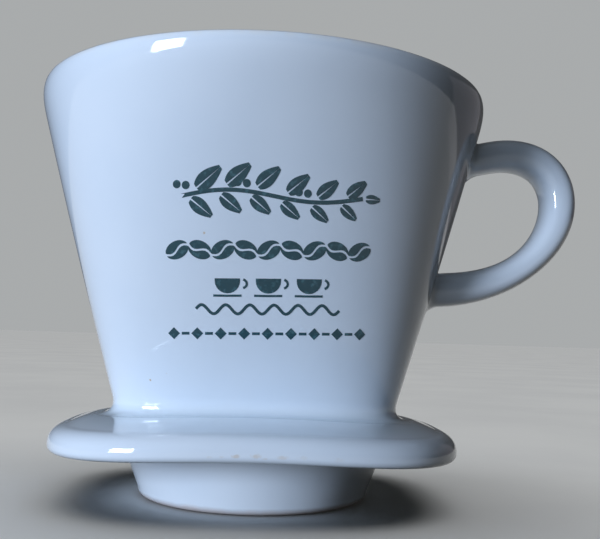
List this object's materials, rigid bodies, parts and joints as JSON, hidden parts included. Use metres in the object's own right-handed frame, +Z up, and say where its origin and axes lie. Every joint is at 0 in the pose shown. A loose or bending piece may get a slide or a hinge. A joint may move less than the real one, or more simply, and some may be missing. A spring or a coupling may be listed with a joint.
{
  "type": "pour over dripper",
  "caption": "White porcelain cone dripper with a ribbed wedge funnel, pierced floor, flat rounded plate, centring foot ring and ear handle, set on a cup to brew coffee through paper.",
  "frame": {"origin": "where the funnel's axis crosses the plane of the plate's underside, the plane that rests on the cup", "axes": "+Z up along the funnel's axis, +X towards the handle, -Y out of the decorated front of the funnel"},
  "size_m": [0.1596, 0.13, 0.115],
  "materials": {
    "body_glaze": "gloss",
    "foot_glaze": "gloss"
  },
  "bodies": {
    "root": {"funnel_wall": "body_glaze", "drain_floor": "body_glaze", "base_plate": "body_glaze", "foot_ring": "foot_glaze", "handle": "body_glaze", "funnel_slip_joint": "body_glaze", "foot_slip_joint": "body_glaze", "handle_upper_slip_joint": "body_glaze", "handle_lower_slip_joint": "body_glaze"}
  },
  "joints": []
}
